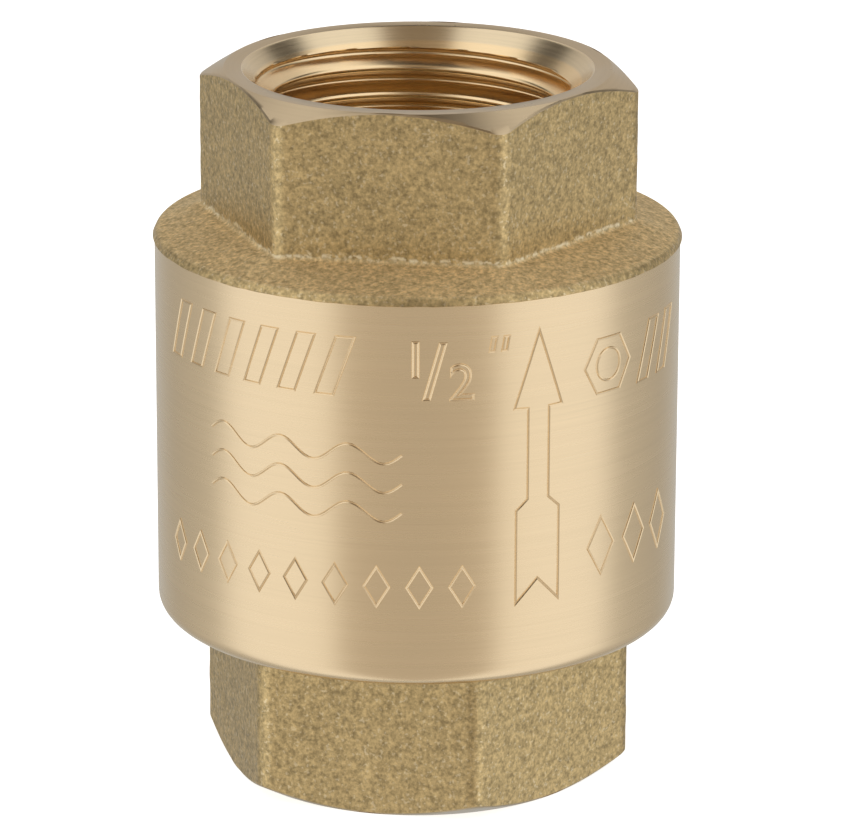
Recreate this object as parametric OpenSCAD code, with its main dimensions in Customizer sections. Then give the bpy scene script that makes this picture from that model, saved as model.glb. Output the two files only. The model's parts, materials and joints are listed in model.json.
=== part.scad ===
// In-line spring check valve with a female G 1/2 pipe thread at each end.
// The valve's axis is Z. It stands on its inlet end, flow runs up, and the origin is the centre
// of the inlet face. The outlet hexagon has a pair of flats across Y.

/* [Body] */
// Length over the two end faces
valve_len = 46.5; // [46:0.25:48]
// Diameter of the turned drum
drum_d = 34; // [33.5:0.25:36]
// Height of the drum's lower face above the inlet face
drum_z = 10.3; // [10.2:0.1:10.6]
// Height at which the turning stops and the rough forging begins
turned_top = 35.5; // [35:0.25:36]
// Radius turned on the drum's lower edge
drum_edge_r = 1.2; // [1:0.1:1.5]
// Height of the rough cone at the foot of each hexagon
root_h = 0.85; // [0.5:0.05:0.85]

/* [Hexagons] */
// Size across flats
hex_af = 25; // [24.5:0.25:26]
// Diameter that the corners are turned down to
hex_corner_d = 28.6; // [28.3:0.1:28.7]
// Angle of the inlet hexagon from the outlet one
inlet_hex_turn = -5.7; // [-30:0.1:30]
// Diameter of the flat end face, where the 30 degree chamfer starts
end_face_d = 24.9; // [24.5:0.1:24.9]

/* [Pipe threads] */
// Minor diameter of the internal thread
thread_minor_d = 18.631; // [18.5:0.001:18.7]
// Depth of the thread from the end face
thread_depth = 10.2; // [9.8:0.1:10.2]
// Diameter of the countersink at the end face
countersink_d = 22.6; // [21.5:0.1:23]

/* [Flow path] */
// Diameter of the inlet port
inlet_port_d = 15; // [14:0.5:15]
// Diameter of the outlet port
outlet_port_d = 17; // [16:0.5:17]
// Diameter of the chamber round the shutter
chamber_d = 27; // [26.5:0.25:27]
// Height of the chamber's roof
chamber_top = 33; // [33:0.1:33.5]
// Height of the seat's sealing lip
seat_z = 18.6; // [18.5:0.1:18.8]

/* [Shutter] */
// Travel of the shutter from the seat to its stop
lift = 4.5; // [3:0.25:4.5]
// Diameter of the shutter's disc
disc_d = 21.6; // [21:0.1:22]
// Diameter of the upper stem
upper_stem_d = 5; // [4:0.25:5]
// Diameter of the lower stem
lower_stem_d = 4; // [3.5:0.25:4]
// Radial clearance of each stem in its guide
stem_clearance = 0.05; // [0.03:0.01:0.08]

/* [Spring] */
// Wire diameter
wire_d = 0.5; // [0.4:0.05:0.8]
// Mean diameter of the coil
coil_d = 10.6; // [10.5:0.1:11]
// Number of working turns
working_turns = 4; // [3:1:4]

/* [Hidden] */
$fn = 96;
eps = 0.01;
over = 1;                                 // how far a cut runs past what it cuts

forged_skin = 0.12;                       // how far the rough forging stands proud of the turning
rim_r = 0.55;                             // rounding of the rough rim above the turning
shoulder_z = turned_top + rim_r;
end_chamfer = 30;                         // angle of the hexagons' end chamfer from the end face
hex_corner_r = hex_corner_d / 2;
root_sink = 0.4;                          // how far the foot's cone runs in under the flats
root_top_r = hex_af / 2 - root_sink;
hex_sink = 1;                             // how far the outlet hexagon is sunk into the drum
thread_r = thread_minor_d / 2;
countersink_r = countersink_d / 2;
countersink_h = countersink_r - thread_r; // 45 degree countersink
outlet_thread_z = valve_len - thread_depth;
drum_r = drum_d / 2;
rough_r = drum_r + forged_skin;
chamber_r = chamber_d / 2;

// Screwed joint between the body and the end connector
joint_r = 14.2;
joint_gap = 0.05;
joint_top = 15.5;
joint_end_gap = 0.3;
collar_r = 15.1;
collar_h = 0.3;
collar_z = drum_z - collar_h;
nose_gap = 0.1;
lip_h = 0.3;
nose_top = seat_z - lip_h;

// O-ring in its groove on the connector's nose
ring_groove_r = 12.2;
ring_groove_z = 15.7;
ring_groove_h = 1.8;
ring_gap = 0.01;
ring_stretch = 0.2;                       // half of the flat between the section's two round ends

// Seat lip
lip_chamfer_h = 0.9;                      // 45 degree chamfer inside the lip
lip_w = 1;
lip_inner_r = inlet_port_d / 2 + lip_chamfer_h;
lip_outer_r = lip_inner_r + lip_w;

// Guides: a hub carried by ribs across each port
rib_w = 2;
rib_sink = 0.5;                           // how far a rib runs into the port's wall
outlet_hub_r = 4.4;
outlet_hub_z = 29.5;
outlet_rib_z = chamber_top;
guide_drop = 0.3;                         // how far the guide stops short of the thread
guide_top = outlet_thread_z - guide_drop;
inlet_hub_r = 3.5;
inlet_hub_z = 11.8;
inlet_hub_h = 4.4;
inlet_rib_z = 12.2;
inlet_rib_h = 3.4;

// Shutter, drawn closed on its seat
seal_h = 1.8;
seal_r = 9.9;
seal_gap = 0.05;
seal_top = seat_z + seal_h;
disc_r = disc_d / 2;
disc_rim_drop = 1.2;                      // how far the disc's rim reaches down round the washer
disc_web = 1.2;
disc_rim_z = seal_top - disc_rim_drop;
disc_top = seal_top + disc_web;
spigot_r = 4;
boss_r = 4.6;
boss_top = outlet_hub_z - lift;
stem_top = 32.5;
stem_end_gap = 0.2;
stem_bottom = thread_depth + stem_end_gap;
stem_chamfer = 0.5;
clip_drop = 1.9;
clip_z = seat_z - clip_drop;
clip_h = 0.6;
clip_groove_r = 1.6;
clip_r = 3.7;
clip_slot = 2.6;
plate_r = 6.9;
plate_edge = 0.6;
plate_z = clip_z + clip_h;

// Spring: one dead turn, the working turns, one dead turn
spring_bottom = disc_top;
spring_top = chamber_top;
dead_gap = 0.06;                          // gap between the dead turns
dead_pitch = wire_d + dead_gap;
spring_turns = working_turns + 2;
working_h = spring_top - spring_bottom - wire_d - 2 * dead_pitch;
steps_per_turn = 20;
wire_sides = 8;

// A hexagon whose corners are turned off by a circle, one of them on the X axis.
module hexagon() {
  intersection() {
    circle(r = hex_af / 2 / cos(30), $fn = 6);
    circle(r = hex_corner_r);
  }
}

// A hexagonal end from z = 0, the end face, up to height h, with the turned 30 degree chamfer.
module hex_end(h) {
  chamfer_h = (hex_corner_r - end_face_d / 2) * tan(end_chamfer);
  intersection() {
    linear_extrude(h) hexagon();
    union() {
      cylinder(r1 = end_face_d / 2, r2 = hex_corner_r, h = chamfer_h);
      translate([0, 0, chamfer_h]) cylinder(r = hex_corner_r + over, h = h);
    }
  }
}

// The bore of a threaded end, from z = 0, the end face, at the thread's minor diameter.
module threaded_bore() {
  translate([0, 0, -eps]) cylinder(r = thread_r, h = thread_depth + eps);
  translate([0, 0, -eps]) cylinder(r1 = countersink_r + eps, r2 = thread_r, h = countersink_h + eps);
}

// Places a thing that is drawn upwards from the inlet face so that it hangs from the outlet face.
module at_outlet() {
  translate([0, 0, valve_len]) mirror([0, 0, 1]) children();
}

// Ribs across a port, reaching a little into its wall.
module ribs(count, port_r, z, h) {
  for (i = [0 : count - 1])
    rotate([0, 0, i * 360 / count])
      translate([0, -rib_w / 2, z]) cube([port_r + rib_sink, rib_w, h]);
}

// Half section of the drum's outside, right of the axis.
module drum_section() {
  translate([0, drum_z]) square([drum_r - drum_edge_r, drum_edge_r + eps]);
  translate([0, drum_z + drum_edge_r]) square([drum_r, turned_top - drum_z - drum_edge_r]);
  translate([drum_r - drum_edge_r, drum_z + drum_edge_r]) circle(r = drum_edge_r);
  translate([0, turned_top - eps]) square([rough_r - rim_r, rim_r + eps]);
  translate([rough_r - rim_r, turned_top]) {
    intersection() {
      circle(r = rim_r);
      square(rim_r);
    }
  }
}

module body_blank() {
  rotate_extrude() drum_section();
  translate([0, 0, shoulder_z - eps])
    cylinder(r1 = rough_r - rim_r, r2 = root_top_r, h = root_h + eps);
  at_outlet() hex_end(valve_len - shoulder_z + hex_sink);
}

module body_cavity() {
  translate([0, 0, drum_z - eps]) cylinder(r = joint_r + joint_gap, h = joint_top - drum_z + eps);
  translate([0, 0, joint_top - eps]) cylinder(r = chamber_r, h = chamber_top - joint_top + eps);
  translate([0, 0, chamber_top - eps])
    cylinder(d = outlet_port_d, h = outlet_thread_z - chamber_top + 2 * eps);
  at_outlet() threaded_bore();
}

module outlet_guide() {
  difference() {
    union() {
      translate([0, 0, outlet_hub_z]) cylinder(r = outlet_hub_r, h = guide_top - outlet_hub_z);
      ribs(4, outlet_port_d / 2, outlet_rib_z, guide_top - outlet_rib_z);
    }
    translate([0, 0, outlet_hub_z - over]) cylinder(d = upper_stem_d + 2 * stem_clearance, h = guide_top);
  }
}

// Forged outlet half: the hexagon, the drum and the outlet guide are one piece.
module body() {
  color("goldenrod") {
    difference() {
      body_blank();
      body_cavity();
    }
    outlet_guide();
  }
}

// The turned and forged outside of the inlet half, drawn with a hexagon corner on the X axis.
module connector_blank() {
  hex_end(drum_z - eps);
  translate([0, 0, collar_z]) cylinder(r = collar_r, h = collar_h);
  translate([0, 0, collar_z - root_h]) cylinder(r1 = root_top_r, r2 = collar_r, h = root_h + eps);
  translate([0, 0, drum_z - eps]) cylinder(r = joint_r, h = joint_top - joint_end_gap - drum_z + eps);
  translate([0, 0, joint_top - joint_end_gap - eps])
    cylinder(r = chamber_r - nose_gap, h = nose_top - joint_top + joint_end_gap + eps);
  translate([0, 0, nose_top - eps]) cylinder(r = lip_outer_r, h = seat_z - nose_top + eps);
}

module connector_cavity() {
  threaded_bore();
  cylinder(d = inlet_port_d, h = seat_z + over);
  translate([0, 0, seat_z - lip_chamfer_h])
    cylinder(r1 = inlet_port_d / 2, r2 = lip_inner_r, h = lip_chamfer_h + eps);
  translate([0, 0, ring_groove_z]) {
    difference() {
      cylinder(r = chamber_r + over, h = ring_groove_h);
      translate([0, 0, -over]) cylinder(r = ring_groove_r, h = ring_groove_h + 2 * over);
    }
  }
}

module inlet_guide() {
  difference() {
    union() {
      translate([0, 0, inlet_hub_z]) cylinder(r = inlet_hub_r, h = inlet_hub_h);
      ribs(3, inlet_port_d / 2, inlet_rib_z, inlet_rib_h);
    }
    translate([0, 0, inlet_hub_z - over])
      cylinder(d = lower_stem_d + 2 * stem_clearance, h = inlet_hub_h + 2 * over);
  }
}

// Forged inlet half: the hexagon, the screwed nose with the seat and the inlet guide are one piece.
module end_connector() {
  color("darkgoldenrod") {
    difference() {
      rotate([0, 0, inlet_hex_turn]) connector_blank();
      connector_cavity();
    }
    inlet_guide();
  }
}

// O-ring, squeezed to an oval between the groove and the chamber's wall.
module joint_o_ring() {
  section_r = (chamber_r - ring_groove_r) / 2 - ring_gap;
  centre_r = (chamber_r + ring_groove_r) / 2;
  color("black")
    translate([0, 0, ring_groove_z + ring_groove_h / 2])
      rotate_extrude()
        translate([centre_r, 0]) {
          translate([0, ring_stretch]) circle(r = section_r);
          translate([0, -ring_stretch]) circle(r = section_r);
          square([2 * section_r, 2 * ring_stretch], center = true);
        }
}

// Moulded shutter: the disc with both of its stems.
module shutter() {
  lower_r = lower_stem_d / 2;
  upper_r = upper_stem_d / 2;
  color("dimgray") {
    difference() {
      translate([0, 0, disc_rim_z]) cylinder(r = disc_r, h = disc_top - disc_rim_z);
      translate([0, 0, disc_rim_z - over]) cylinder(r = seal_r + seal_gap, h = disc_rim_drop + over);
    }
    translate([0, 0, seat_z]) cylinder(r = spigot_r, h = disc_top - seat_z);
    translate([0, 0, disc_top - eps]) cylinder(r = boss_r, h = boss_top - disc_top + eps);
    translate([0, 0, boss_top - eps]) cylinder(r = upper_r, h = stem_top - stem_chamfer - boss_top + eps);
    translate([0, 0, stem_top - stem_chamfer])
      cylinder(r1 = upper_r, r2 = upper_r - stem_chamfer, h = stem_chamfer);
    difference() {
      translate([0, 0, stem_bottom + stem_chamfer])
        cylinder(r = lower_r, h = seat_z + eps - stem_bottom - stem_chamfer);
      translate([0, 0, clip_z]) {
        difference() {
          cylinder(r = lower_r + over, h = clip_h);
          translate([0, 0, -over]) cylinder(r = clip_groove_r, h = clip_h + 2 * over);
        }
      }
    }
    translate([0, 0, stem_bottom]) cylinder(r1 = lower_r - stem_chamfer, r2 = lower_r, h = stem_chamfer);
  }
}

// Rubber washer that closes on the seat's lip.
module shutter_seal() {
  color("black")
    translate([0, 0, seat_z])
      difference() {
        cylinder(r = seal_r, h = seal_h);
        translate([0, 0, -over]) cylinder(r = spigot_r + seal_gap, h = seal_h + 2 * over);
      }
}

// Moulded plate that holds the washer up against the disc.
module seal_plate() {
  color("gray")
    translate([0, 0, plate_z])
      difference() {
        union() {
          cylinder(r1 = plate_r - plate_edge, r2 = plate_r, h = plate_edge);
          translate([0, 0, plate_edge]) cylinder(r = plate_r, h = seat_z - plate_z - plate_edge);
        }
        translate([0, 0, -over])
          cylinder(d = lower_stem_d + 2 * stem_clearance, h = seat_z - plate_z + 2 * over);
      }
}

// Spring-steel clip that snaps into the lower stem's groove, under the plate.
module plate_clip() {
  color("silver")
    translate([0, 0, clip_z])
      difference() {
        cylinder(r = clip_r, h = clip_h);
        translate([0, 0, -over]) cylinder(r = clip_groove_r + stem_clearance, h = clip_h + 2 * over);
        translate([0, -clip_slot / 2, -over]) cube([clip_r + over, clip_slot, clip_h + 2 * over]);
      }
}

// Height of the wire's centre above the spring's lower end, after t turns.
function wire_z(t) =
  wire_d / 2 + dead_pitch * min(t, 1)
  + working_h / working_turns * max(0, min(t - 1, working_turns))
  + dead_pitch * max(0, t - 1 - working_turns);

// Ring of points round the wire's centre, after t turns.
function wire_ring(t) = [
  for (k = [0 : wire_sides - 1])
    let (a = 360 * t, b = 360 * k / wire_sides, r = coil_d / 2 + wire_d / 2 * cos(b))
      [r * cos(a), r * sin(a), wire_z(t) + wire_d / 2 * sin(b)]
];

// Compression spring between the disc and the outlet guide's ribs.
module spring() {
  rings = spring_turns * steps_per_turn;
  points = [for (i = [0 : rings]) each wire_ring(i / steps_per_turn)];
  last = rings * wire_sides;
  sides = [
    for (i = [0 : rings - 1], k = [0 : wire_sides - 1])
      let (p = i * wire_sides, q = (k + 1) % wire_sides)
        [p + k, p + wire_sides + k, p + wire_sides + q, p + q]
  ];
  start_cap = [for (k = [0 : wire_sides - 1]) k];
  end_cap = [for (k = [wire_sides - 1 : -1 : 0]) last + k];
  color("lightsteelblue")
    translate([0, 0, spring_bottom])
      polyhedron(points = points, faces = concat(sides, [start_cap, end_cap]), convexity = 10);
}

body();
end_connector();
joint_o_ring();
shutter();
shutter_seal();
seal_plate();
plate_clip();
spring();
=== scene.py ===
import json
import math

import bmesh
import bpy
from mathutils import Matrix, Vector, noise

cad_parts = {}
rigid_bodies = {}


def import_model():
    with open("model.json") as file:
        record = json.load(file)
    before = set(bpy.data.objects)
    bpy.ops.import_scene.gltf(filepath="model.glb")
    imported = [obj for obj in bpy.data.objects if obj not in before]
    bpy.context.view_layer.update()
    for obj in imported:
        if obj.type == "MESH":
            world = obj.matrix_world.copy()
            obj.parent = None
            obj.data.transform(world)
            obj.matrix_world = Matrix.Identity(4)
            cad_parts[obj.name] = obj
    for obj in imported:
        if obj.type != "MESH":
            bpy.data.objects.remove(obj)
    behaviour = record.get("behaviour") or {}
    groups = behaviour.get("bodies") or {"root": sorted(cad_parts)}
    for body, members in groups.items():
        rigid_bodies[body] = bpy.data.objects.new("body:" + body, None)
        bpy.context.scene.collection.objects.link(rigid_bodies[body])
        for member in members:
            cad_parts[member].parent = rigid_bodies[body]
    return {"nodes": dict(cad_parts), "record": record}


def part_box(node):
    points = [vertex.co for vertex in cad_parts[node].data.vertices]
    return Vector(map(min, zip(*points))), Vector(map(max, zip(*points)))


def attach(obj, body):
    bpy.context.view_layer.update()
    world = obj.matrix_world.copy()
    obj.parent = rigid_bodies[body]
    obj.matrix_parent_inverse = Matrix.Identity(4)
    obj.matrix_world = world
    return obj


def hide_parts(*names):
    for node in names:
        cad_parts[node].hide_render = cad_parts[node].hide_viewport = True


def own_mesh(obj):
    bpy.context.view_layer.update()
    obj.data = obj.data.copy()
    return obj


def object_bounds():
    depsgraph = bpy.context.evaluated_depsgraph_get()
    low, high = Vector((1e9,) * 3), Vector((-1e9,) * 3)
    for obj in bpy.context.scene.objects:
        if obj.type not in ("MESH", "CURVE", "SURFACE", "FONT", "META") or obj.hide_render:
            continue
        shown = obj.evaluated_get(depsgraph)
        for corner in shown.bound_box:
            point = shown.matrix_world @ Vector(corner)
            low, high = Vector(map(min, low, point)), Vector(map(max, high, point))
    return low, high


bl_info = {
    "name": "In-line spring check valve",
    "version": (1, 0, 0),
    "blender": (4, 5, 0),
    "location": "3D View > Sidebar > Check Valve",
    "description": "Builds the finished look of a brass in-line check valve on its packed frame",
    "category": "Add Mesh",
}

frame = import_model()
CAD_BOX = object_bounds()

MM = 0.001
RECORD = frame["record"]
MOUNTS = {m["name"]: m for m in RECORD["mounts"]}
SLIDE = RECORD["behaviour"]["joints"][0]
HOUSING = SLIDE["parent"]
BODY_LOW, BODY_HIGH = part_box("body")
CONNECTOR_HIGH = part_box("end_connector")[1]
SPRING_LOW, SPRING_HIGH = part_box("spring")

# All lengths below are in millimetres until a piece is finished.
TOP_Z = BODY_HIGH.z / MM
DRUM_Z = BODY_LOW.z / MM
ROUGH_R = BODY_HIGH.x / MM
NOSE_TOP_Z = CONNECTOR_HIGH.z / MM
THREAD_MINOR_R = MOUNTS["outlet_thread"]["dims"]["r_mm"]
HALF_FLATS = -MOUNTS["outlet_hex_flat_front"]["pos_m"][1] / MM
INLET_AXIS = MOUNTS["inlet_hex_flat_front"]["axis"]
INLET_TURN = math.atan2(INLET_AXIS[0], -INLET_AXIS[1])

# The inside of the two halves
JOINT_R = 14.25           # screwed joint
JOINT_TOP = 15.5
CHAMBER_R = 13.5
CHAMBER_TOP = 33.0
OUTLET_PORT_R = 8.5
INLET_PORT_R = 7.5
GROOVE_R = 12.2           # floor of the joint ring's groove
GROOVE_LOW, GROOVE_HIGH = 15.7, 17.5
LIP_R = 9.4               # outside of the seat's lip
RIB_WIDTH = 2.0           # ribs of both guides

RIM_HEIGHT = 0.6          # height of the rough rim above the turning
COLLAR_R = 15.05          # collar of the inlet half, under the drum
INLET_FOOT_Z = 9.95       # foot of the inlet hexagon
INLET_FILLET = 0.72
SKIN = 0.03               # how far the forged faces are drawn in, to leave them room to wander
EDGE_BREAK = 0.03         # break at the end face's two edges
DEAD_PITCH = 1.12         # rise of the spring's dead turns, in wire diameters

RING_STEPS = 288          # vertices round each ring of a turned shell
CORNER_CROWDING = 0.7     # how far those vertices are drawn towards the hexagon's corners
THREAD_ROW = 0.07         # height of one row of the thread's wall
RUN_OUT = 0.9             # height over which the thread fades out at its bottom
WHITWORTH_FLANK = math.radians(27.5)
WHITWORTH_DEPTH = 0.6403  # of the pitch
WHITWORTH_ARC = 0.1373
CAP_HEIGHT = 0.7          # of the font's size

VIEW_TURN = math.radians(8.5)


# ---------------------------------------------------------------- settings

class ValveSizes(bpy.types.PropertyGroup):
    turned_top: bpy.props.FloatProperty(
        name="Top of turning",
        description="Height where the drum's turning stops and the rough forging begins, in mm",
        default=35.45, min=34.0, max=36.0)
    drum_radius: bpy.props.FloatProperty(
        name="Drum radius", description="Radius of the turned drum, in mm",
        default=16.98, min=16.0, max=17.1)
    drum_edge: bpy.props.FloatProperty(
        name="Drum edge", description="Rounding of the drum's lower edge, in mm",
        default=1.2, min=0.5, max=2.0)
    corner_round: bpy.props.FloatProperty(
        name="Corner rounding", description="Rounding of the hexagons' corners, in mm",
        default=1.3, min=0.3, max=2.0)
    root_fillet: bpy.props.FloatProperty(
        name="Root fillet", description="Fillet at the foot of the outlet hexagon, in mm",
        default=0.3, min=0.15, max=1.0)
    shoulder_rise: bpy.props.FloatProperty(
        name="Shoulder rise", description="Rise of the rough shoulder from the rim to the hexagon, in mm",
        default=0.8, min=0.0, max=1.0)
    end_face_radius: bpy.props.FloatProperty(
        name="End face radius", description="Radius where the end chamfer starts, in mm",
        default=12.45, min=12.0, max=12.5)
    countersink_radius: bpy.props.FloatProperty(
        name="Countersink radius", description="Radius of the countersink at the end face, in mm",
        default=11.3, min=10.8, max=11.6)
    thread_pitch: bpy.props.FloatProperty(
        name="Thread pitch", description="Pitch of the pipe thread, in mm", default=1.814, min=1.0, max=3.0)
    thread_depth: bpy.props.FloatProperty(
        name="Thread depth", description="Depth of the thread's bottom from the end face, in mm",
        default=10.2, min=8.0, max=10.2)
    forged_wave: bpy.props.FloatProperty(
        name="Forged unevenness", description="How far the rough forged faces wander, in mm",
        default=0.035, min=0.0, max=0.1)
    mark_depth: bpy.props.FloatProperty(
        name="Mark relief", description="Relief of the struck marks on the drum, in mm",
        default=0.045, min=0.01, max=0.1)
    wire_diameter: bpy.props.FloatProperty(
        name="Spring wire", description="Diameter of the spring's wire, in mm", default=0.5, min=0.4, max=0.8)
    working_turns: bpy.props.IntProperty(
        name="Working turns", description="Number of working turns of the spring", default=4, min=3, max=4)


class ValveColours(bpy.types.PropertyGroup):
    turned: bpy.props.FloatVectorProperty(
        name="Turned brass", description="Colour of the turned drum", subtype="COLOR", size=3, min=0, max=1,
        default=(0.875, 0.695, 0.455))
    forged: bpy.props.FloatVectorProperty(
        name="Forged brass", description="Colour of the rough forged faces", subtype="COLOR", size=3,
        min=0, max=1, default=(0.62, 0.47, 0.235))
    cut: bpy.props.FloatVectorProperty(
        name="Cut brass", description="Colour of the countersink", subtype="COLOR", size=3,
        min=0, max=1, default=(0.80, 0.66, 0.45))
    thread: bpy.props.FloatVectorProperty(
        name="Thread brass", description="Colour of the thread's wall", subtype="COLOR", size=3,
        min=0, max=1, default=(0.96, 0.74, 0.45))
    nylon: bpy.props.FloatVectorProperty(
        name="Nylon", description="Colour of the moulded pieces", subtype="COLOR", size=3, min=0, max=1,
        default=(0.72, 0.70, 0.62))
    rubber: bpy.props.FloatVectorProperty(
        name="Rubber", description="Colour of the seals", subtype="COLOR", size=3, min=0, max=1,
        default=(0.018, 0.018, 0.02))


def sizes():
    return bpy.context.scene.valve_sizes


def colours():
    return bpy.context.scene.valve_colours


# ---------------------------------------------------------------- materials

class Term:
    """A socket's value in an expression; each operator adds its Math node."""

    def __init__(self, shader, socket):
        self.shader, self.socket = shader, socket

    def _math(self, operation, *others, clamp=False):
        return self.shader.node("ShaderNodeMath", {"operation": operation, "use_clamp": clamp},
                                {i: v for i, v in enumerate((self, *others))})

    def __add__(self, other): return self._math("ADD", other)
    def __radd__(self, other): return self._math("ADD", other)
    def __sub__(self, other): return self._math("SUBTRACT", other)
    def __mul__(self, other): return self._math("MULTIPLY", other)
    def __truediv__(self, other): return self._math("DIVIDE", other)
    def __neg__(self): return self._math("MULTIPLY", -1.0)
    def __abs__(self): return self._math("ABSOLUTE")
    def __pow__(self, other): return self._math("POWER", other)

    def __rsub__(self, other):
        return self.shader.node("ShaderNodeMath", {"operation": "SUBTRACT"}, {0: other, 1: self})

    def angle_from(self, other): return self._math("ARCTAN2", other)
    def clamped(self): return self._math("ADD", 0.0, clamp=True)

    def step(self, low, high):
        """0 below low, 1 above high, smooth between."""
        return self.shader.node("ShaderNodeMapRange", {"interpolation_type": "SMOOTHSTEP"},
                                {"Value": self, "From Min": low, "From Max": high})


class Shader:
    """Builds one node tree; node() makes any node from its settings and inputs."""

    def __init__(self, tree):
        self.tree = tree
        tree.nodes.clear()

    def node(self, kind, settings=None, inputs=None, output=0):
        made = self.tree.nodes.new(kind)
        for key, value in (settings or {}).items():
            if key == "stops":
                self._ramp(made.color_ramp, value)
            else:
                setattr(made, key, value)
        for key, value in (inputs or {}).items():
            socket = made.inputs[key]
            if isinstance(value, Term):
                self.tree.links.new(value.socket, socket)
            else:
                socket.default_value = value
        return Term(self, made.outputs[output])

    @staticmethod
    def _ramp(ramp, stops):
        while len(ramp.elements) > 1:
            ramp.elements.remove(ramp.elements[-1])
        ramp.elements[0].position = stops[0][0]
        ramp.elements[0].color = (*stops[0][1], 1)
        for place, colour in stops[1:]:
            ramp.elements.new(place).color = (*colour, 1)

    def mix(self, factor, a, b):
        """Colour a where factor is 0 and b where it is 1."""
        def socket(value):
            return value if isinstance(value, Term) else (*value, 1)
        inputs = {0: factor, 6: socket(a), 7: socket(b)}
        return self.node("ShaderNodeMix", {"data_type": "RGBA"}, inputs, 2)

    def noise(self, vector, scale, detail=2.0, roughness=0.5):
        return self.node("ShaderNodeTexNoise", None,
                         {"Vector": vector, "Scale": scale, "Detail": detail, "Roughness": roughness})

    def object_place(self):
        return self.node("ShaderNodeTexCoord", None, None, "Object")

    def split(self, vector):
        """The three numbers of a vector."""
        outputs = self.node("ShaderNodeSeparateXYZ", None, {"Vector": vector}).socket.node.outputs
        return [Term(self, output) for output in outputs]

    def stretched(self, vector, scale):
        return self.node("ShaderNodeMapping", None, {"Vector": vector, "Scale": scale})

    def bump(self, height, distance, strength=1.0, normal=None):
        inputs = {"Height": height, "Distance": distance, "Strength": strength}
        if normal is not None:
            inputs["Normal"] = normal
        return self.node("ShaderNodeBump", None, inputs)

    def finish(self, **inputs):
        named = {key.replace("_", " ").title(): value for key, value in inputs.items()}
        self.output("ShaderNodeOutputMaterial", self.node("ShaderNodeBsdfPrincipled", None, named))

    def output(self, kind, surface):
        out = self.tree.nodes.new(kind)
        self.tree.links.new(surface.socket, out.inputs["Surface"])


def material(name):
    made = bpy.data.materials.new(name)
    made.use_nodes = True
    return made, Shader(made.node_tree)


def cut_lines(s, x, radius, z, scale):
    """Fine lines left by a tool that goes round the valve's axis."""
    along = s.node("ShaderNodeCombineXYZ", None, {"X": radius * scale, "Y": z * scale, "Z": x * 60.0})
    return s.noise(along, 1.0, 2.0)


def turned_brass():
    """Fine satin turning: lines run round the drum, with slow changes of tone between them."""
    made, s = material("turned_brass")
    place = s.object_place()
    lines = s.noise(s.stretched(place, (60, 60, 9000)), 1.0, 3.0, 0.6)
    bands = s.noise(s.stretched(place, (14, 14, 2600)), 1.0, 2.0, 0.5)
    cloud = s.noise(place, 130.0, 3.0, 0.55)
    tone = (lines - 0.5) * 0.38 + (bands - 0.5) * 0.28 + (cloud - 0.5) * 0.2
    base = Vector(colours().turned)
    colour = s.mix((tone + 0.5).clamped(), tuple(base * 0.86), tuple(base * 1.10))
    roughness = 0.27 + (bands - 0.5) * 0.06 + (cloud - 0.5) * 0.05
    fine = s.bump(lines, 0.000003, 0.3)
    s.finish(base_color=colour, metallic=1.0, roughness=roughness, normal=s.bump(bands, 0.000006, 0.12, fine))
    return made


def forged_brass():
    """Shot-blasted forging: close grain, slow stains, and a painted highlight line round the hexagon's foot,
    where its fillet catches the light.
    """
    made, s = material("forged_brass")
    place = s.object_place()
    z = s.split(place)[2]
    grain = s.noise(place, 4800.0, 2.0, 0.6)
    coarse = s.noise(place, 2300.0, 2.0, 0.55)
    stain = s.noise(place, 170.0, 3.0, 0.6)
    crest = s.noise(place, 3900.0, 1.0, 0.5).step(0.58, 0.76)
    height = grain * 0.5 + coarse * 0.5
    base = Vector(colours().forged)
    tone = ((height - 0.5) * 3.5 + 0.5 + (stain - 0.5) * 0.35).clamped()
    colour = s.mix(tone, tuple(base * 0.58), tuple(base * 1.26))
    foot = (sizes().turned_top + RIM_HEIGHT + sizes().shoulder_rise + sizes().root_fillet) * MM
    rim = sizes().turned_top * MM
    # The shoulder gets a lighter copy of the forged colour: painted light that makes up for the shade the
    # hexagon casts on it. Its higher roughness below is real.
    shoulder = z.step(rim + 0.0004, rim + 0.0006) * (1 - z.step(foot - 0.0002, foot))
    colour = s.mix(shoulder, colour, s.mix(tone, (0.54, 0.42, 0.23), (0.98, 0.80, 0.48)))
    # The pale line round the hexagon's foot is a painted highlight, standing in for the light that the foot's
    # fillet catches.
    wander = z + (s.noise(place, 620.0, 3.0, 0.6) - 0.5) * 0.0009
    foot_highlight = wander.step(foot - 0.0002, foot) * (1 - wander.step(foot, foot + 0.0002))
    foot_highlight = foot_highlight * s.noise(place, 2100.0, 2.0, 0.6).step(0.42, 0.58)
    colour = s.mix(crest * 0.5, colour, (0.90, 0.77, 0.52))
    colour = s.mix(foot_highlight * 0.9, colour, (1.0, 0.90, 0.66))
    roughness = 0.46 + shoulder * 0.3 - crest * 0.12 + (stain - 0.5) * 0.12
    s.finish(base_color=colour, metallic=1.0, roughness=roughness, normal=s.bump(height, 0.00006, 0.7))
    return made


def cut_brass():
    """Brass cut by the tap and the countersink: the thread is warmer than the cone above it."""
    made, s = material("cut_brass")
    place = s.object_place()
    x, y, z = s.split(place)
    radius = (x * x + y * y) ** 0.5
    line = cut_lines(s, x, radius, z, 6000.0)
    cloud = s.noise(place, 300.0, 3.0, 0.6)
    cone = radius.step(0.01042, 0.01056)
    tone = ((line - 0.5) * 0.45 + (cloud - 0.5) * 0.4 + 0.5).clamped()
    thread, sink = Vector(colours().thread), Vector(colours().cut)
    colour = s.mix(cone, s.mix(tone, tuple(thread * 0.88), tuple(thread * 1.06)),
                   s.mix(tone, tuple(sink * 0.82), tuple(sink * 1.12)))
    roughness = 0.23 + (cloud - 0.5) * 0.08 + (line - 0.5) * 0.06
    s.finish(base_color=colour, metallic=1.0, roughness=roughness, normal=s.bump(line, 0.000004, 0.5))
    return made


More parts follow.
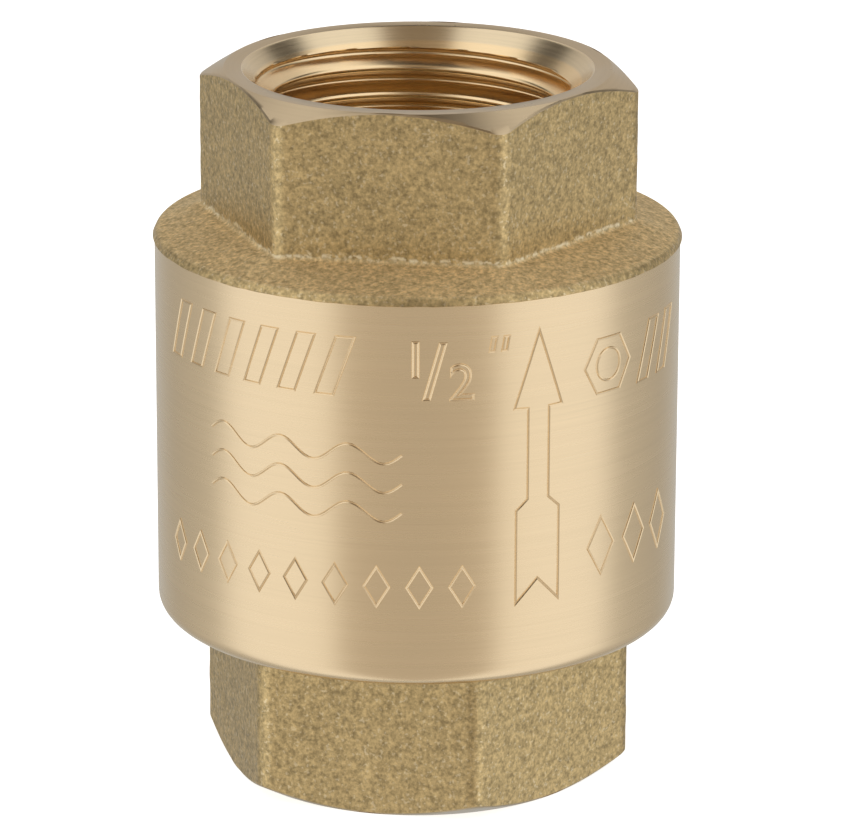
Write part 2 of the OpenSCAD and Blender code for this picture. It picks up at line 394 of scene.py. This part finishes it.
def chamfer_brass():
    """Chamfers cut across the forging and dulled since."""
    made, s = material("chamfer_brass")
    place = s.object_place()
    x, y, z = s.split(place)
    line = cut_lines(s, x, (x * x + y * y) ** 0.5, z, 5000.0)
    cloud = s.noise(place, 420.0, 3.0, 0.6)
    base = Vector(colours().turned) * 0.72
    tone = ((line - 0.5) * 0.4 + (cloud - 0.5) * 0.5 + 0.5).clamped()
    colour = s.mix(tone, tuple(base * 0.78), tuple(base * 1.08))
    s.finish(base_color=colour, metallic=1.0, roughness=0.30 + (cloud - 0.5) * 0.16,
             normal=s.bump(line, 0.000005, 0.5))
    return made


def nylon():
    """Moulded nylon, faintly mottled, with a fine spark-eroded texture."""
    made, s = material("nylon")
    place = s.object_place()
    mottle = s.noise(place, 260.0, 3.0, 0.6)
    texture = s.noise(place, 4200.0, 2.0, 0.5)
    base = Vector(colours().nylon)
    s.finish(base_color=s.mix(mottle, tuple(base * 0.9), tuple(base * 1.08)), metallic=0.0,
             roughness=0.42 + (mottle - 0.5) * 0.15, subsurface_weight=0.12, subsurface_scale=0.001,
             normal=s.bump(texture, 0.00001, 0.5))
    return made


def rubber():
    """Nitrile rubber with a dull bloom and a trace of the mould."""
    made, s = material("rubber")
    place = s.object_place()
    bloom = s.noise(place, 340.0, 3.0, 0.6)
    skin = s.noise(place, 5200.0, 2.0, 0.5)
    base = Vector(colours().rubber)
    s.finish(base_color=s.mix(bloom, tuple(base * 0.7), tuple(base * 2.2)), metallic=0.0,
             roughness=0.62 + (bloom - 0.5) * 0.2, normal=s.bump(skin, 0.00001, 0.6))
    return made


# ---------------------------------------------------------------- shapes

def hexagon_radius(angle, grow=0.0):
    """Radius of the rounded hexagon, grown outwards, at an angle from one of its corners."""
    rounding = sizes().corner_round
    centre = (HALF_FLATS - rounding) / math.cos(math.pi / 6)
    off = (angle + math.pi / 6) % (math.pi / 3) - math.pi / 6
    tangent = math.atan2((rounding + grow) / 2, centre + (rounding + grow) * math.cos(math.pi / 6))
    if abs(off) < tangent:
        return centre * math.cos(off) + math.sqrt((rounding + grow) ** 2 - (centre * math.sin(off)) ** 2)
    return (HALF_FLATS + grow) / math.cos(math.pi / 6 - abs(off))


def thread_radius(angle, z):
    """Radius of a right-hand internal Whitworth thread's wall."""
    pitch = sizes().thread_pitch
    depth = WHITWORTH_DEPTH * pitch
    arc = WHITWORTH_ARC * pitch
    middle = THREAD_MINOR_R + depth / 2
    phase = (z / pitch - angle / (2 * math.pi)) % 1.0
    from_root = abs(phase - 0.5) * pitch
    from_crest = pitch / 2 - from_root
    reach = arc * math.cos(WHITWORTH_FLANK)
    if from_root < reach:
        return middle + depth / 2 - arc + math.sqrt(arc * arc - from_root * from_root)
    if from_crest < reach:
        return middle - depth / 2 + arc - math.sqrt(arc * arc - from_crest * from_crest)
    return middle + (pitch / 4 - from_root) / math.tan(WHITWORTH_FLANK)


def uneven(angle, z, size=1.0):
    """Slow wander of a forged face, in mm."""
    amount = sizes().forged_wave * size
    spot = Vector((math.cos(angle) * 9.0, math.sin(angle) * 9.0, z * 0.65))
    return amount * (noise.noise(spot) + 0.6 * noise.noise(spot * 2.3))


def circle(radius, z):
    """A plain ring of a turned shell."""
    return lambda angle: (radius, z)


def arc_rings(centre_r, centre_z, radius, start, end, steps):
    """Rings along an arc of the section, angles in degrees from outwards towards up."""
    made = []
    for i in range(steps + 1):
        a = math.radians(start + (end - start) * i / steps)
        made.append(circle(centre_r + radius * math.cos(a), centre_z + radius * math.sin(a)))
    return made


def mouth_rings(end_z, way):
    """Rings from the end face's inner edge down the countersink and the thread; way is -1 at the outlet."""
    size = sizes()
    rows = int(size.thread_depth / THREAD_ROW)

    def ring(row):
        depth = EDGE_BREAK + (size.thread_depth - EDGE_BREAK) * row / rows

        def law(angle):
            z = end_z + way * depth
            cone = size.countersink_radius - depth
            wall = thread_radius(angle, z)
            fade = min(1.0, max(0.0, (size.thread_depth - depth) / RUN_OUT))
            wall = THREAD_MINOR_R + (wall - THREAD_MINOR_R) * fade
            return max(wall, cone), z
        return law
    return [ring(row) for row in range(rows + 1)]


def hexagon_side(foot_z, end_z, way, rows):
    """Rings from a forged hexagon's foot to its cut edge, and rings over the chamfer to the end face."""
    size = sizes()
    slope = math.tan(math.pi / 6)
    burr = 0.11

    def edge_z(radius):
        return end_z - way * (radius - size.end_face_radius) * slope

    def side(share):
        def law(angle):
            radius = hexagon_radius(angle)
            top = edge_z(radius) - way * burr / 2
            z = foot_z + (top - foot_z) * share
            inner = min(1.0, 4 * share, 6 * (1 - share))
            return radius - SKIN + uneven(angle, z) * inner, z
        return law

    def cone(share):
        def law(angle):
            outer = hexagon_radius(angle) - burr
            radius = size.end_face_radius + (outer - size.end_face_radius) * share
            return radius, edge_z(radius)
        return law
    sides = [side(i / rows) for i in range(1, rows + 1)]
    return sides, [cone(share) for share in (1.0, 0.75, 0.5, 0.25, 0.0)]


def root_rings(foot_z, way, radius, steps=6):
    """Rings round a fillet that follows the hexagon, from the shoulder up to the hexagon's side."""
    def law(step):
        a = math.pi / 2 * (1 - step / steps)
        grow = radius * (1 - math.cos(a))
        rise = radius * (1 - math.sin(a))

        def ring(angle):
            z = foot_z + way * rise
            return hexagon_radius(angle, grow) - SKIN + uneven(angle, z, 0.6), z
        return ring
    return [law(step) for step in range(steps + 1)]


def face_outwards(bm):
    """Points every face outwards. The recalculation alone can leave a whole shell inside out."""
    bmesh.ops.recalc_face_normals(bm, faces=bm.faces)
    if bm.calc_volume(signed=True) < 0:
        bmesh.ops.reverse_faces(bm, faces=bm.faces)


def shell(bm, parts, turn=0.0):
    """Extrudes a circle ring by ring. parts is a list of (material index, rings); each ring is a law that
    gives the radius and height at an angle from the hexagon's corner. The last ring closes on the first."""
    verts = bmesh.ops.create_circle(bm, segments=RING_STEPS, radius=1.0)["verts"]
    angles = {}

    def settle(law):
        for v in verts:
            angle = math.atan2(v.co.y, v.co.x)
            angle = angles.setdefault(round(angle, 4), angle)
            radius, z = law(angle)
            v.co = Vector((radius * math.cos(angle), radius * math.sin(angle), z))

    for v in verts:
        even = math.atan2(v.co.y, v.co.x)
        crowded = even - CORNER_CROWDING / 6 * math.sin(6 * even)
        v.co = Vector((math.cos(crowded), math.sin(crowded), 0.0))
    edges = list({e for v in verts for e in v.link_edges})
    laws = [(index, law) for index, rings in parts for law in rings]
    settle(laws[0][1])
    for index, law in laws[1:]:
        made = bmesh.ops.extrude_edge_only(bm, edges=edges)["geom"]
        verts = [g for g in made if isinstance(g, bmesh.types.BMVert)]
        settle(law)
        fresh = set(verts)
        edges = [g for g in made if isinstance(g, bmesh.types.BMEdge) and fresh.issuperset(g.verts)]
        for face in (g for g in made if isinstance(g, bmesh.types.BMFace)):
            face.material_index = index
    bmesh.ops.remove_doubles(bm, verts=bm.verts, dist=1e-5)
    bmesh.ops.rotate(bm, verts=bm.verts, cent=(0, 0, 0), matrix=Matrix.Rotation(turn, 3, "Z"))
    face_outwards(bm)


def spin_section(bm, section):
    """Spins a closed section, a list of (radius, height), once round the axis."""
    verts = [bm.verts.new((r, 0, z)) for r, z in section]
    edges = [bm.edges.new((verts[i - 1], verts[i])) for i in range(len(verts))]
    bmesh.ops.spin(bm, geom=verts + edges, cent=(0, 0, 0), axis=(0, 0, 1), angle=2 * math.pi,
                   steps=96, use_merge=True)
    face_outwards(bm)


def finished(bm, name, materials, body, sharp=28.0):
    """Turns a mesh drawn in millimetres into a shaded piece that rides on a body."""
    bmesh.ops.scale(bm, vec=(MM, MM, MM), verts=bm.verts)
    for face in bm.faces:
        face.smooth = True
    limit = math.radians(sharp)
    for edge in bm.edges:
        edge.smooth = not (len(edge.link_faces) == 2 and edge.calc_face_angle(0.0) > limit)
    mesh = bpy.data.meshes.new(name)
    bm.to_mesh(mesh)
    bm.free()
    for made in materials:
        mesh.materials.append(made)
    piece = bpy.data.objects.new(name, mesh)
    bpy.context.scene.collection.objects.link(piece)
    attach(piece, body)
    return piece


def shared(maker):
    """The material that a function makes, made the first time it is asked for."""
    return bpy.data.materials.get(maker.__name__) or maker()


# ---------------------------------------------------------------- the two brass halves

TURNED, FORGED, CUT, CHAMFER = range(4)


def brass_finishes():
    """The finishes of a forging, in the order of the four numbers above."""
    return [shared(maker) for maker in (turned_brass, forged_brass, cut_brass, chamfer_brass)]


def end_face(z):
    """Both edges of a half's flat end face."""
    size = sizes()
    return [circle(size.end_face_radius - EDGE_BREAK, z), circle(size.countersink_radius + EDGE_BREAK, z)]


def ragged_ring(radius, z):
    """A ring of the uneven line where the turning meets the rough rim."""
    def law(angle):
        return radius, z + 0.05 * noise.noise(Vector((math.cos(angle) * 14, math.sin(angle) * 14, z)))
    return law


def shoulder_ring(share, outer, low):
    """A ring of the rough shoulder, between the rim at 0 and the hexagon's foot at 1."""
    size = sizes()

    def law(angle):
        inner = hexagon_radius(angle, size.root_fillet)
        rise = size.shoulder_rise * share
        return (outer + (inner - outer) * share,
                low + rise + uneven(angle, share * 9.0) * math.sin(math.pi * share))
    return law


def outlet_half():
    """The drum and its skirt, the rim, shoulder and hexagon, then the mouth and the chamber inside."""
    size = sizes()
    edge, drum, top = size.drum_edge, size.drum_radius, size.turned_top
    crown = ROUGH_R - RIM_HEIGHT
    shoulder_z = top + RIM_HEIGHT
    foot_z = shoulder_z + size.shoulder_rise
    lead, ease = 0.25, 0.2
    under = [circle(JOINT_R, JOINT_TOP), circle(JOINT_R, DRUM_Z + lead), circle(JOINT_R + lead, DRUM_Z),
             circle(drum - edge, DRUM_Z)]
    skirt = arc_rings(drum - edge, DRUM_Z + edge, edge, -84, 0, 8)
    turned = [circle(drum, z) for z in (14.0, 20.0, 27.0, 33.0)] + [ragged_ring(drum, top - 0.02)]
    rim = [ragged_ring(ROUGH_R - SKIN, top + 0.05)] + arc_rings(crown, top + 0.1, RIM_HEIGHT - 0.1, 25, 84, 4)
    slope = [shoulder_ring(share / 5, crown, shoulder_z) for share in range(5)]
    root = root_rings(foot_z, 1, size.root_fillet)
    sides, cone = hexagon_side(foot_z + size.root_fillet, TOP_Z, 1, 22)
    thread_z = TOP_Z - size.thread_depth
    port = [circle(OUTLET_PORT_R + 0.1, thread_z), circle(OUTLET_PORT_R, thread_z - 0.1),
            circle(OUTLET_PORT_R, CHAMBER_TOP + ease), circle(OUTLET_PORT_R + ease, CHAMBER_TOP)]
    chamber = [circle(CHAMBER_R - ease, CHAMBER_TOP), circle(CHAMBER_R, CHAMBER_TOP - ease),
               circle(CHAMBER_R, JOINT_TOP + ease), circle(CHAMBER_R + ease, JOINT_TOP),
               circle(JOINT_R, JOINT_TOP)]
    bm = bmesh.new()
    shell(bm, [(TURNED, under + skirt + turned), (FORGED, rim + slope + root + sides),
               (CHAMFER, cone + end_face(TOP_Z)), (CUT, mouth_rings(TOP_Z, -1) + port + chamber)])
    return finished(bm, "outlet_half", brass_finishes(), HOUSING)


def collar_ring(share):
    """A ring of the inlet half's rough collar, between its rim at 0 and the hexagon's foot at 1."""
    def law(angle):
        inner = hexagon_radius(angle, INLET_FILLET)
        radius = COLLAR_R + uneven(angle, 2.0 + share, 2.2) + (inner - COLLAR_R) * share
        return min(CONNECTOR_HIGH.x / MM, radius), INLET_FOOT_Z + 0.02 * share
    return law


def inlet_half():
    """The nose with the joint ring's groove, the collar and hexagon, then the mouth and the port inside."""
    depth = sizes().thread_depth
    collar_z = DRUM_Z - 0.12
    lip_z = NOSE_TOP_Z - 0.3
    nose_r, screw_r = CHAMBER_R - 0.1, JOINT_R - 0.05
    screw_top = JOINT_TOP - 0.3
    seat = [circle(LIP_R, NOSE_TOP_Z), circle(LIP_R, lip_z), circle(nose_r - 0.1, lip_z),
            circle(nose_r, lip_z - 0.1)]
    groove = [circle(nose_r, GROOVE_HIGH), circle(GROOVE_R, GROOVE_HIGH), circle(GROOVE_R, GROOVE_LOW),
              circle(nose_r, GROOVE_LOW)]
    screw = [circle(nose_r, screw_top), circle(screw_r, screw_top), circle(screw_r, collar_z),
             circle(COLLAR_R - 0.15, collar_z)]
    rim = [circle(COLLAR_R, collar_z - 0.06), collar_ring(0.0), collar_ring(0.6)]
    root = root_rings(INLET_FOOT_Z, -1, INLET_FILLET)
    sides, cone = hexagon_side(INLET_FOOT_Z - INLET_FILLET, 0.0, -1, 20)
    port = [circle(INLET_PORT_R + 0.1, depth), circle(INLET_PORT_R, depth + 0.1),
            circle(INLET_PORT_R, NOSE_TOP_Z - 0.9), circle(INLET_PORT_R + 0.9, NOSE_TOP_Z),
            circle(LIP_R - 0.7, NOSE_TOP_Z), circle(LIP_R, NOSE_TOP_Z)]
    bm = bmesh.new()
    shell(bm, [(CUT, seat + groove + screw), (FORGED, rim + root + sides), (CHAMFER, cone + end_face(0.0)),
               (CUT, mouth_rings(0.0, 1) + port)], INLET_TURN)
    return finished(bm, "inlet_half", brass_finishes(), HOUSING)


def guide(name, bore, outer, low, high, ribs, rib_low, rib_high, reach):
    """A forged hub with ribs out to the port's wall."""
    bm = bmesh.new()
    spin_section(bm, [(bore, low + 0.2), (bore + 0.2, low), (outer - 0.4, low), (outer, low + 0.4),
                      (outer, high - 0.4), (outer - 0.4, high), (bore + 0.3, high), (bore, high - 0.3)])
    inner = (bore + outer) / 2
    for i in range(ribs):
        made = bmesh.ops.create_cube(bm, size=1.0)["verts"]
        bmesh.ops.scale(bm, vec=(reach - inner, RIB_WIDTH, rib_high - rib_low), verts=made)
        bmesh.ops.translate(bm, vec=((reach + inner) / 2, 0, (rib_low + rib_high) / 2), verts=made)
        edges = [e for e in {e for v in made for e in v.link_edges}
                 if abs(e.verts[0].co.x - e.verts[1].co.x) > 1.0]
        out = bmesh.ops.bevel(bm, geom=edges, offset=0.45, affect="EDGES", segments=4, profile=0.5,
                              material=-1)
        made = list({v for f in out["faces"] for v in f.verts} | {v for v in made if v.is_valid})
        turn = Matrix.Rotation(2 * math.pi * i / ribs, 3, "Z")
        bmesh.ops.rotate(bm, verts=made, cent=(0, 0, 0), matrix=turn)
    return finished(bm, name, [shared(forged_brass)], HOUSING)


# ---------------------------------------------------------------- marks struck on the drum

def flow_arrow(middle):
    """Outline of the flow arrow: barbed head, narrow shaft and wide notched tail."""
    half = [(0.0, 33.45), (1.66, 28.5), (0.73, 28.45), (0.73, 22.5), (1.5, 21.8), (1.5, 15.65)]
    left = [(-u, z) for u, z in reversed(half[1:])]
    return [(middle + u, z) for u, z in half + [(0.0, 17.2)] + left]


def slanted_bar(u, z, width, height, slant):
    """A bar that leans to the right, with its lower left corner at u, z."""
    return [(u, z), (u + width, z), (u + width + slant, z + height), (u + slant, z + height)]


def lozenge(u, z, width, height):
    """A lozenge centred on u, z."""
    return [(u, z - height / 2), (u + width / 2, z), (u, z + height / 2), (u - width / 2, z)]


def rounded(u, z, radius, corners):
    """A regular outline; with many corners it is a ring."""
    turn = 2 * math.pi / corners
    return [(u + radius * math.cos(i * turn), z + radius * math.sin(i * turn)) for i in range(corners)]


def wave(u, z, length, height, crests):
    """An open wavy line that starts at u, z."""
    steps = 16 * crests
    turn = 2 * math.pi * crests
    return [(u + length * i / steps, z + height * math.sin(turn * i / steps)) for i in range(steps + 1)]


def mark_outlines():
    """Closed and open outlines on the unrolled drum: arc length from the -Y side towards +X, and height."""
    closed = [flow_arrow(10.4)]
    closed += [slanted_bar(-17.0 + 2.6 * i, 29.5, 1.2, 3.8, 1.4) for i in range(6)]
    closed += [lozenge(-16.2 + 2.7 * i, 17.1, 1.6, 2.6) for i in range(9)]
    closed += [rounded(15.9, 30.3, 2.05, 6), rounded(15.9, 30.3, 1.05, 32)]
    closed += [slanted_bar(18.9 + 2.6 * i, 28.4, 1.2, 3.8, 1.4) for i in range(2)]
    closed += [lozenge(15.4 + 3.3 * i, 18.4, 2.3, 3.8) for i in range(3)]
    closed += [slanted_bar(7.1 + 0.8 * i, 32.4, 0.3, 0.9, 0.15) for i in range(2)]
    opened = [wave(-12.2, 22.0 + 1.9 * i, 13.8, 0.6, 3) for i in range(3)]
    return closed, opened


def stroked(curve, groove, name):
    """Mesh of a flat curve whose lines are given the groove's section."""
    curve.bevel_mode = "OBJECT"
    curve.bevel_object = groove
    curve.use_fill_caps = True
    held = bpy.data.objects.new(name, curve)
    bpy.context.scene.collection.objects.link(held)
    ready = held.evaluated_get(bpy.context.evaluated_depsgraph_get())
    mesh = bpy.data.meshes.new_from_object(ready)
    bpy.data.objects.remove(held)
    return mesh


def polyline(curve, points, cyclic):
    """Adds a line through the points to a flat curve."""
    spline = curve.splines.new("POLY")
    spline.points.add(len(points) - 1)
    for knot, point in zip(spline.points, points):
        knot.co = (*point, 0, 1)
    spline.use_cyclic_u = cyclic


def numeral(text, height, u, z, groove):
    """Outlined numeral, with its lower left corner at u, z."""
    letters = bpy.data.curves.new("numeral", "FONT")
    letters.body = text
    letters.size = height / CAP_HEIGHT
    letters.fill_mode = "NONE"
    mesh = stroked(letters, groove, "numeral")
    mesh.transform(Matrix.Translation((u, z, 0)))
    return mesh


def drum_marks():
    """The struck outlines, wrapped round the drum: a burr on each side of a shallow valley."""
    size = sizes()
    depth = size.mark_depth
    section = bpy.data.curves.new("groove", "CURVE")
    foot, crest = 0.11, 0.065
    outline = [(-foot, -depth), (-crest, depth), (0, 0.1 * depth), (crest, depth), (foot, -depth)]
    polyline(section, outline, True)
    groove = bpy.data.objects.new("groove", section)
    bpy.context.scene.collection.objects.link(groove)
    lines = bpy.data.curves.new("marks", "CURVE")
    closed, opened = mark_outlines()
    for points in closed:
        polyline(lines, points, True)
    for points in opened:
        polyline(lines, points, False)
    bm = bmesh.new()
    for mesh in (stroked(lines, groove, "marks"), numeral("1", 2.3, 1.6, 30.9, groove),
                 numeral("/", 3.6, 2.9, 29.5, groove), numeral("2", 2.3, 4.5, 29.4, groove)):
        bm.from_mesh(mesh)
        bpy.data.meshes.remove(mesh)
    bpy.data.objects.remove(groove)
    bmesh.ops.remove_doubles(bm, verts=bm.verts, dist=1e-5)
    for _ in range(4):
        long_edges = [e for e in bm.edges if e.calc_length() > 0.6]
        bmesh.ops.subdivide_edges(bm, edges=long_edges, cuts=1, use_grid_fill=True)
    for v in bm.verts:
        angle = v.co.x / size.drum_radius - math.pi / 2
        radius = size.drum_radius + v.co.z
        v.co = Vector((radius * math.cos(angle), radius * math.sin(angle), v.co.y))
    face_outwards(bm)
    return finished(bm, "drum_marks", [shared(turned_brass)], HOUSING)


# ---------------------------------------------------------------- spring

def coil_spring():
    """Closed-end compression spring: one dead turn, the working turns and one dead turn."""
    size = sizes()
    wire = size.wire_diameter
    bottom, top = SPRING_LOW.z / MM, SPRING_HIGH.z / MM
    coil_radius = SPRING_HIGH.x / MM - wire / 2 - 0.01
    dead = wire * DEAD_PITCH
    working = top - bottom - wire - 2 * dead
    steps = 72
    bm = bmesh.new()
    ring = bmesh.ops.create_circle(bm, segments=16, radius=wire / 2 - 0.005)["verts"]
    bmesh.ops.rotate(bm, verts=ring, cent=(0, 0, 0), matrix=Matrix.Rotation(math.pi / 2, 3, "X"))
    bmesh.ops.translate(bm, verts=ring, vec=(coil_radius, 0, bottom + wire / 2))
    bmesh.ops.contextual_create(bm, geom=list({e for v in ring for e in v.link_edges}))
    ends = ring + list({e for v in ring for e in v.link_edges})
    for turns, rise in ((1, dead), (size.working_turns, working), (1, dead)):
        count = steps * turns
        out = bmesh.ops.spin(bm, geom=ends, cent=(0, 0, 0), axis=(0, 0, 1), angle=2 * math.pi * turns,
                             steps=count, dvec=(0, 0, rise / count))
        ends = [g for g in out["geom_last"] if not isinstance(g, bmesh.types.BMFace)]
    bmesh.ops.contextual_create(bm, geom=[g for g in ends if isinstance(g, bmesh.types.BMEdge)])
    face_outwards(bm)
    return finished(bm, "coil_spring", [bpy.data.materials["spring_steel"]], HOUSING, sharp=60.0)


# ---------------------------------------------------------------- stage

def white_floor(scene):
    """A bright floor just under the valve, unseen in its reflections."""
    mesh = bpy.data.meshes.new("floor")
    bm = bmesh.new()
    bmesh.ops.create_grid(bm, x_segments=1, y_segments=1, size=3.0)
    bmesh.ops.translate(bm, vec=(0, 0, CAD_BOX[0].z - 0.00002), verts=bm.verts)
    bm.to_mesh(mesh)
    bm.free()
    floor = bpy.data.objects.new("floor", mesh)
    scene.collection.objects.link(floor)
    made, s = material("floor_white")
    s.finish(base_color=(0.9, 0.9, 0.9, 1.0), roughness=0.9, emission_color=(1.0, 1.0, 1.0, 1.0),
             emission_strength=0.75)
    mesh.materials.append(made)
    floor.visible_glossy = False
    return floor


def add_camera(scene):
    """A long lens, a little above the valve and to the right of its -Y side."""
    low, high = CAD_BOX
    tilt, roll, distance = 0.304, 0.003, 0.35
    target = Vector((0, 0, (low.z + high.z) / 2 + 0.00075))
    level = Vector((math.sin(VIEW_TURN), -math.cos(VIEW_TURN), 0.0))
    back = level * math.cos(tilt) + Vector((0, 0, math.sin(tilt)))
    data = bpy.data.cameras.new("camera")
    data.sensor_width = 36.0
    data.lens = 227.4
    data.shift_x = 0.0089
    data.shift_y = -0.0209
    data.clip_start = 0.01
    camera = bpy.data.objects.new("camera", data)
    scene.collection.objects.link(camera)
    camera.location = target + back * distance
    camera.rotation_mode = "QUATERNION"
    aimed = (-back).to_track_quat("-Z", "Y")
    camera.rotation_quaternion = aimed @ Matrix.Rotation(roll, 3, "Z").to_quaternion()
    scene.camera = camera


def add_studio(scene):
    """The light round the valve: pale walls, a bright roof with a dark gap, and a dark stand on each side."""
    world = bpy.data.worlds.new("studio")
    scene.world = world
    world.use_nodes = True
    s = Shader(world.node_tree)
    x, y, z = s.split(s.node("ShaderNodeTexCoord", None, None, "Generated"))
    right = x * math.cos(VIEW_TURN) + y * math.sin(VIEW_TURN)
    away = y * math.cos(VIEW_TURN) - x * math.sin(VIEW_TURN)
    side = abs(right.angle_from(-away)) / math.pi
    walls = s.node("ShaderNodeValToRGB", {"stops": [
        (0.0, (0.54, 0.50, 0.45)), (0.175, (0.58, 0.53, 0.47)), (0.215, (1.0, 0.99, 0.97)),
        (0.48, (1.0, 1.0, 1.0)), (0.56, (0.56, 0.55, 0.53)), (0.75, (0.46, 0.45, 0.43)),
        (1.0, (0.62, 0.66, 0.70))]}, {"Fac": side})
    slot = (1 - (abs(right) - 0.21).step(-0.05, 0.05)) * (1 - away.step(-0.3, 0.0)) * z.step(0.10, 0.28)
    walls = s.mix(slot, walls, (0.09, 0.065, 0.045))
    rear = side.step(0.72, 0.85) * z.step(-0.02, 0.10)
    walls = s.mix(rear, walls, (0.64, 0.60, 0.55))
    half_gap = 0.24 - away * 0.08
    roof_gap = (abs(right) - half_gap).step(-0.05, 0.05)
    gap = s.mix(away.step(0.0, 0.25), (0.26, 0.205, 0.15), (0.03, 0.02, 0.015))
    roof = s.mix(roof_gap, gap, (1.05, 1.03, 1.0))
    stand = (1 - abs(side - 0.69).step(0.045, 0.085)) * z.step(0.25, 0.38) * (1 - z.step(0.68, 0.8))
    light = s.mix(z.step(0.55, 0.78), walls, roof)
    light = s.mix(stand, light, (0.07, 0.06, 0.05))
    seen = s.node("ShaderNodeLightPath", None, None, "Is Camera Ray")
    light = s.mix(seen, light, (1.02, 1.02, 1.02))
    background = s.node("ShaderNodeBackground", None, {"Color": light, "Strength": 1.0})
    s.output("ShaderNodeOutputWorld", background)


# ---------------------------------------------------------------- operators

class VALVE_OT_outlet_half(bpy.types.Operator):
    """Builds the outlet forging: drum, hexagon and threaded mouth"""
    bl_idname = "valve.outlet_half"
    bl_label = "Outlet half"

    def execute(self, context):
        piece = outlet_half()
        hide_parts("body")
        guide("outlet_guide", bore=2.55, outer=4.4, low=29.5, high=36.0, ribs=4,
                      rib_low=CHAMBER_TOP, rib_high=35.85, reach=OUTLET_PORT_R + 0.2)
        return {"FINISHED"}


class VALVE_OT_inlet_half(bpy.types.Operator):
    """Builds the inlet forging: hexagon, threaded mouth and the nose with the seat"""
    bl_idname = "valve.inlet_half"
    bl_label = "Inlet half"

    def execute(self, context):
        piece = inlet_half()
        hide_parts("end_connector")
        guide("inlet_guide", bore=2.05, outer=3.5, low=11.8, high=16.2, ribs=3,
                      rib_low=12.2, rib_high=15.6, reach=INLET_PORT_R + 0.2)
        return {"FINISHED"}


class VALVE_OT_drum_marks(bpy.types.Operator):
    """Strikes the flow arrow, the size and the plain marks on the drum"""
    bl_idname = "valve.drum_marks"
    bl_label = "Drum marks"

    def execute(self, context):
        drum_marks()
        return {"FINISHED"}


class VALVE_OT_coil_spring(bpy.types.Operator):
    """Winds the spring and gives it a mesh of its own"""
    bl_idname = "valve.coil_spring"
    bl_label = "Coil spring"

    def execute(self, context):
        piece = coil_spring()
        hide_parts("spring")
        length = SPRING_HIGH.z - SPRING_LOW.z
        lift = SLIDE["range_m"][1]
        (length - lift) / length
        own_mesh(piece)
        return {"FINISHED"}


class VALVE_OT_inner_pieces(bpy.types.Operator):
    """Gives the shutter, its seals, plate and clip their finishes"""
    bl_idname = "valve.inner_pieces"
    bl_label = "Inner pieces"

    def execute(self, context):
        finishes = {"shutter": shared(nylon), "seal_plate": shared(nylon),
                    "shutter_seal": shared(rubber), "joint_o_ring": shared(rubber),
                    "plate_clip": bpy.data.materials["spring_steel"]}
        for node, finish in finishes.items():
            mesh = frame["nodes"][node].data
            mesh.materials.clear()
            mesh.materials.append(finish)
        return {"FINISHED"}


class VALVE_OT_stage(bpy.types.Operator):
    """Sets the floor, the soft studio light and the camera"""
    bl_idname = "valve.stage"
    bl_label = "Stage"

    def execute(self, context):
        context.scene.view_settings.view_transform = "Standard"
        floor = white_floor(context.scene)
        add_camera(context.scene)
        add_studio(context.scene)
        return {"FINISHED"}


class VALVE_PT_panel(bpy.types.Panel):
    """Lists the valve's sizes, colours and building steps"""
    bl_idname = "VALVE_PT_panel"
    bl_label = "Check Valve"
    bl_space_type = "VIEW_3D"
    bl_region_type = "UI"
    bl_category = "Check Valve"

    def draw(self, context):
        layout = self.layout
        for group in (context.scene.valve_sizes, context.scene.valve_colours):
            box = layout.box()
            for name in group.__annotations__:
                box.prop(group, name)
        for step in STEPS:
            layout.operator(step.bl_idname)


STEPS = (VALVE_OT_stage, VALVE_OT_outlet_half, VALVE_OT_inlet_half, VALVE_OT_drum_marks,
         VALVE_OT_coil_spring, VALVE_OT_inner_pieces)
CLASSES = (ValveSizes, ValveColours, *STEPS, VALVE_PT_panel)


def register():
    for item in CLASSES:
        bpy.utils.register_class(item)
    bpy.types.Scene.valve_sizes = bpy.props.PointerProperty(type=ValveSizes)
    bpy.types.Scene.valve_colours = bpy.props.PointerProperty(type=ValveColours)


def unregister():
    del bpy.types.Scene.valve_sizes
    del bpy.types.Scene.valve_colours
    for item in reversed(CLASSES):
        bpy.utils.unregister_class(item)


def main():
    register()
    for step in STEPS:
        group, name = step.bl_idname.split(".")
        getattr(getattr(bpy.ops, group), name)()


if __name__ == "__main__":
    main()
